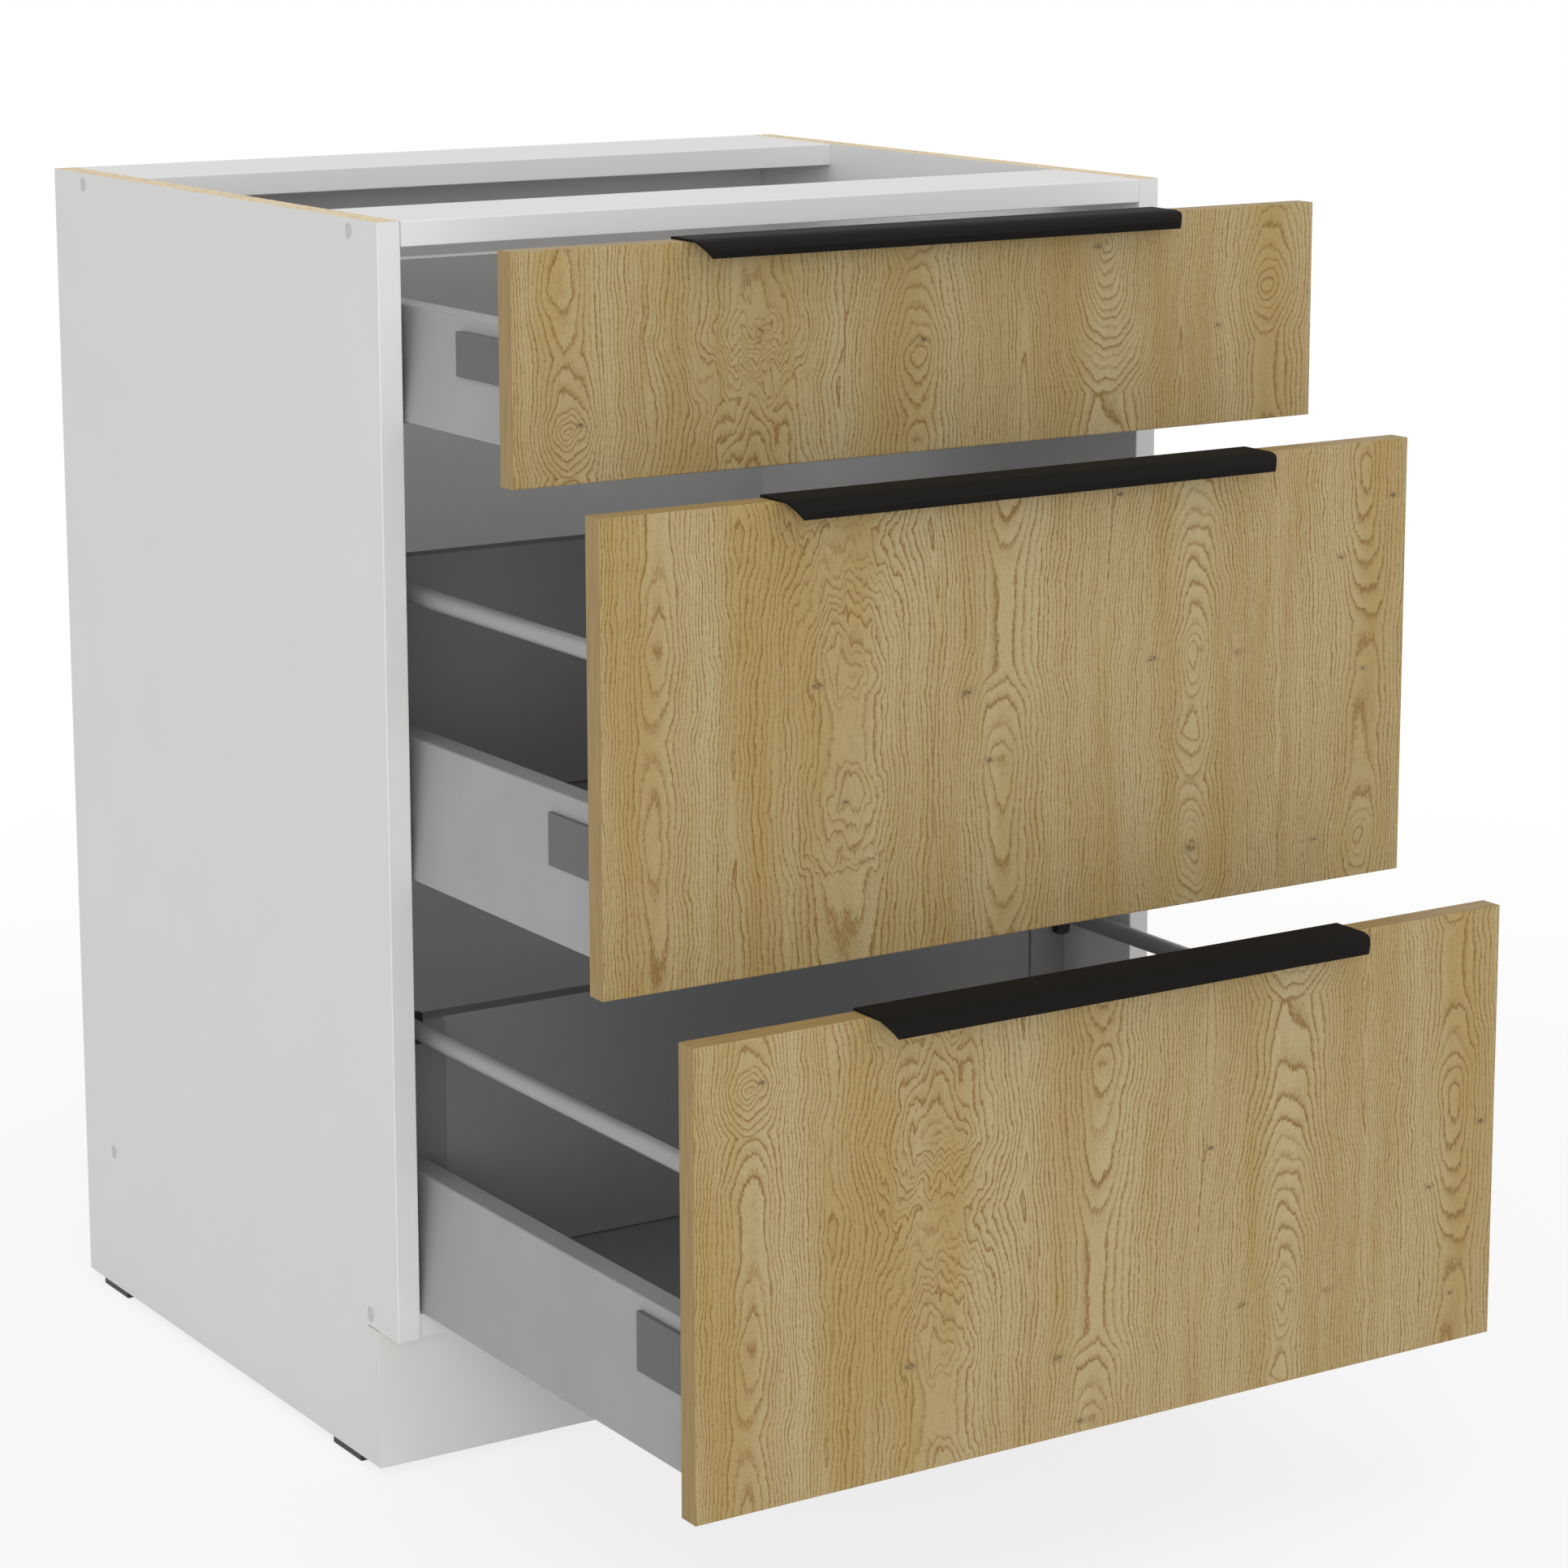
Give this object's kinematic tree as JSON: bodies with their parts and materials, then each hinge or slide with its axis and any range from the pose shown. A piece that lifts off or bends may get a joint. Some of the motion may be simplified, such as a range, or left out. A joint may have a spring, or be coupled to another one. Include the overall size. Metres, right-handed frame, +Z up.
{
  "type": "base cabinet with drawers",
  "caption": "Kitchen base cabinet with pull-out drawers: white board carcass, oak fronts with black edge-pull handles, steel double-wall drawer sides and railings.",
  "frame": {"origin": "centre of the bounding box's underside at rest, on the floor, with the drawers standing open as in the picture", "axes": "+Z up, -Y out of the front where the drawers open, +X to the right of a person who stands before the cabinet and looks along +Y at its fronts"},
  "size_m": [0.6, 0.8913, 0.822],
  "materials": {
    "white_board": "satin",
    "oak_board": "matte",
    "dark_board": "matte",
    "grey_board": "matte",
    "grey_steel": "satin",
    "dark_steel": "satin",
    "zinc_steel": "satin",
    "black_metal": "satin",
    "black_plastic": "matte",
    "grey_plastic": "matte",
    "white_plastic": "satin"
  },
  "bodies": {
    "carcass": {"left_side_panel": "white_board", "right_side_panel": "white_board", "bottom_panel": "white_board", "front_top_rail": "white_board", "rear_top_rail": "white_board", "back_panel": "white_board", "plinth_board": "white_board", "floor_glides": "black_plastic", "carcass_screws": "zinc_steel", "screw_cover_caps": "white_plastic", "top_left_cabinet_runner": "zinc_steel", "top_right_cabinet_runner": "zinc_steel", "middle_left_cabinet_runner": "zinc_steel", "middle_right_cabinet_runner": "zinc_steel", "bottom_left_cabinet_runner": "zinc_steel", "bottom_right_cabinet_runner": "zinc_steel"},
    "top_drawer": {"top_drawer_front": "oak_board", "top_drawer_handle": "black_metal", "top_drawer_left_side": "grey_steel", "top_drawer_right_side": "grey_steel", "top_drawer_cover_plates": "grey_plastic", "top_drawer_bottom_board": "dark_board", "top_drawer_back_wall": "grey_board", "top_drawer_back_brackets": "dark_steel", "top_drawer_front_brackets": "zinc_steel", "top_drawer_runner_members": "zinc_steel"},
    "top_runner": {"top_middle_members": "zinc_steel"},
    "middle_drawer": {"middle_drawer_front": "oak_board", "middle_drawer_handle": "black_metal", "middle_drawer_left_side": "grey_steel", "middle_drawer_right_side": "grey_steel", "middle_drawer_cover_plates": "grey_plastic", "middle_drawer_bottom_board": "dark_board", "middle_drawer_back_wall": "dark_board", "middle_drawer_back_brackets": "dark_steel", "middle_drawer_front_brackets": "zinc_steel", "middle_drawer_runner_members": "zinc_steel", "middle_drawer_left_railing": "grey_steel", "middle_drawer_right_railing": "grey_steel", "middle_drawer_railing_holders": "black_plastic"},
    "middle_runner": {"middle_middle_members": "zinc_steel"},
    "bottom_drawer": {"bottom_drawer_front": "oak_board", "bottom_drawer_handle": "black_metal", "bottom_drawer_left_side": "grey_steel", "bottom_drawer_right_side": "grey_steel", "bottom_drawer_cover_plates": "grey_plastic", "bottom_drawer_bottom_board": "dark_board", "bottom_drawer_back_wall": "dark_board", "bottom_drawer_back_brackets": "dark_steel", "bottom_drawer_front_brackets": "zinc_steel", "bottom_drawer_runner_members": "zinc_steel", "bottom_drawer_left_railing": "grey_steel", "bottom_drawer_right_railing": "grey_steel", "bottom_drawer_railing_holders": "black_plastic"},
    "bottom_runner": {"bottom_middle_members": "zinc_steel"}
  },
  "joints": [
    {"name": "top_drawer_slide", "type": "slide", "parent": "carcass", "child": "top_drawer", "axis": [0, -1, 0], "range_m": [-0.15, 0.25]},
    {"name": "top_runner_slide", "type": "slide", "parent": "carcass", "child": "top_runner", "axis": [0, -1, 0], "range_m": [-0.075, 0.125]},
    {"name": "middle_drawer_slide", "type": "slide", "parent": "carcass", "child": "middle_drawer", "axis": [0, -1, 0], "range_m": [-0.25, 0.15]},
    {"name": "middle_runner_slide", "type": "slide", "parent": "carcass", "child": "middle_runner", "axis": [0, -1, 0], "range_m": [-0.125, 0.075]},
    {"name": "bottom_drawer_slide", "type": "slide", "parent": "carcass", "child": "bottom_drawer", "axis": [0, -1, 0], "range_m": [-0.35, 0.05]},
    {"name": "bottom_runner_slide", "type": "slide", "parent": "carcass", "child": "bottom_runner", "axis": [0, -1, 0], "range_m": [-0.175, 0.025]}
  ],
  "couplings": [
    {"joint": "top_runner_slide", "follows": "top_drawer_slide", "ratio": 0.5},
    {"joint": "middle_runner_slide", "follows": "middle_drawer_slide", "ratio": 0.5},
    {"joint": "bottom_runner_slide", "follows": "bottom_drawer_slide", "ratio": 0.5}
  ]
}
